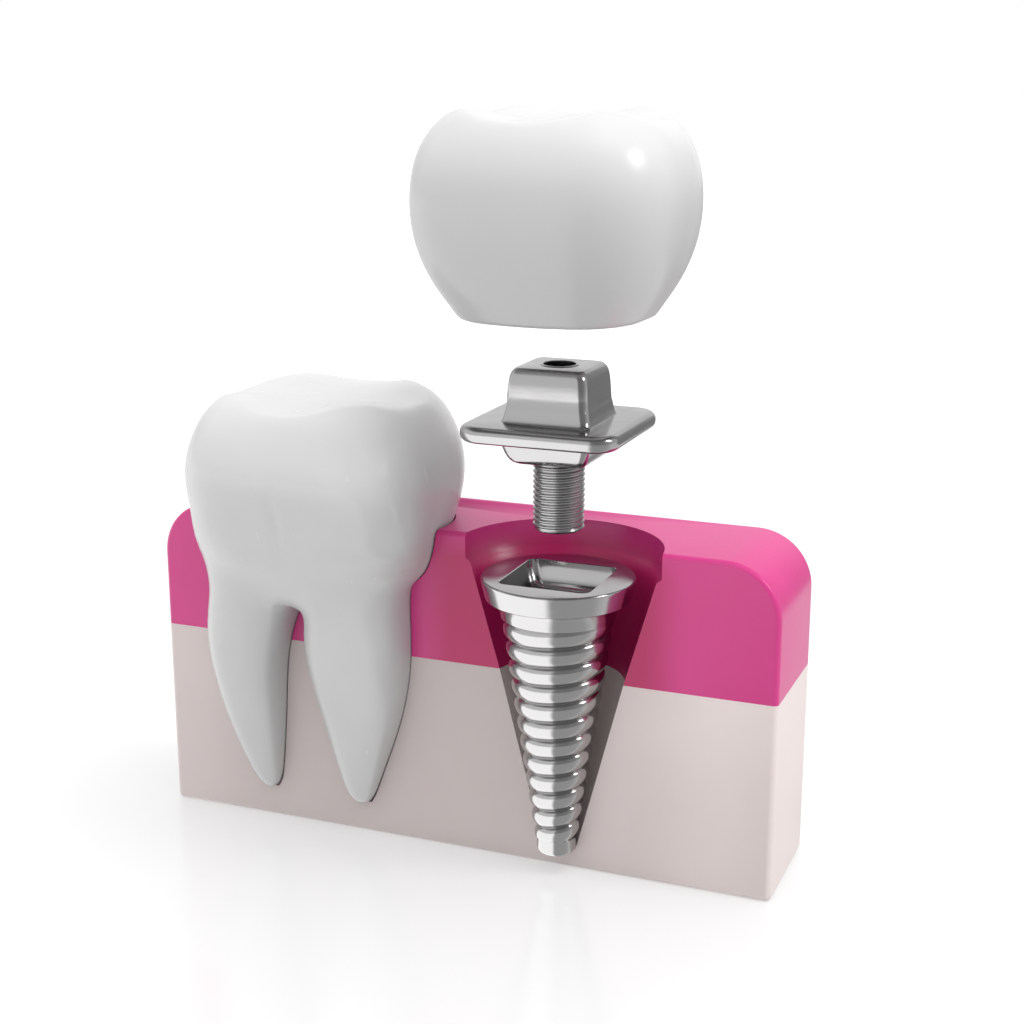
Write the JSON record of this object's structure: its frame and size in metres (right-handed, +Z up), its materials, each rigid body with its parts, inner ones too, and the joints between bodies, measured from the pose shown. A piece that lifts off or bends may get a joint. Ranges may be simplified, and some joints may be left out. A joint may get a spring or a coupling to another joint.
{
  "type": "dental_implant_model",
  "caption": "Cut-open jaw with a two-rooted molar beside a tapered threaded implant; a square abutment on its screw and a crown hang above and lower onto it",
  "frame": {"origin": "centre of the bone block's bottom face", "axes": "+Z up, +X along the jaw towards the implant side, -Y the cut-open front"},
  "size_m": [0.1, 0.0433, 0.1124],
  "materials": {
    "bone": "cream plastic with a faint grain, satin",
    "gum": "pink plastic, soft gloss",
    "enamel": "tooth white, glossy",
    "implant_metal": "polished bright",
    "abutment_metal": "polished bright",
    "screw_metal": "machined bright",
    "porcelain": "porcelain white, glossy"
  },
  "bodies": {
    "jaw": {"bone_block": "bone", "gum_cap": "gum", "molar_tooth": "enamel", "implant_fixture": "implant_metal"},
    "abutment_body": {"abutment": "abutment_metal"},
    "screw_body": {"abutment_screw": "screw_metal"},
    "crown_body": {"crown": "porcelain"}
  },
  "joints": [
    {"name": "abutment_lift", "type": "slide", "parent": "jaw", "child": "abutment_body", "axis": [0, 0, 1], "range_m": [-0.02074, 0]},
    {"name": "screw_turn", "type": "hinge", "parent": "abutment_body", "child": "screw_body", "pos_m": [0.0174, -0.0113, 0.064], "axis": [0, 0, 1], "continuous": true},
    {"name": "crown_lift", "type": "slide", "parent": "abutment_body", "child": "crown_body", "axis": [0, 0, 1], "range_m": [-0.0142, 0]}
  ]
}
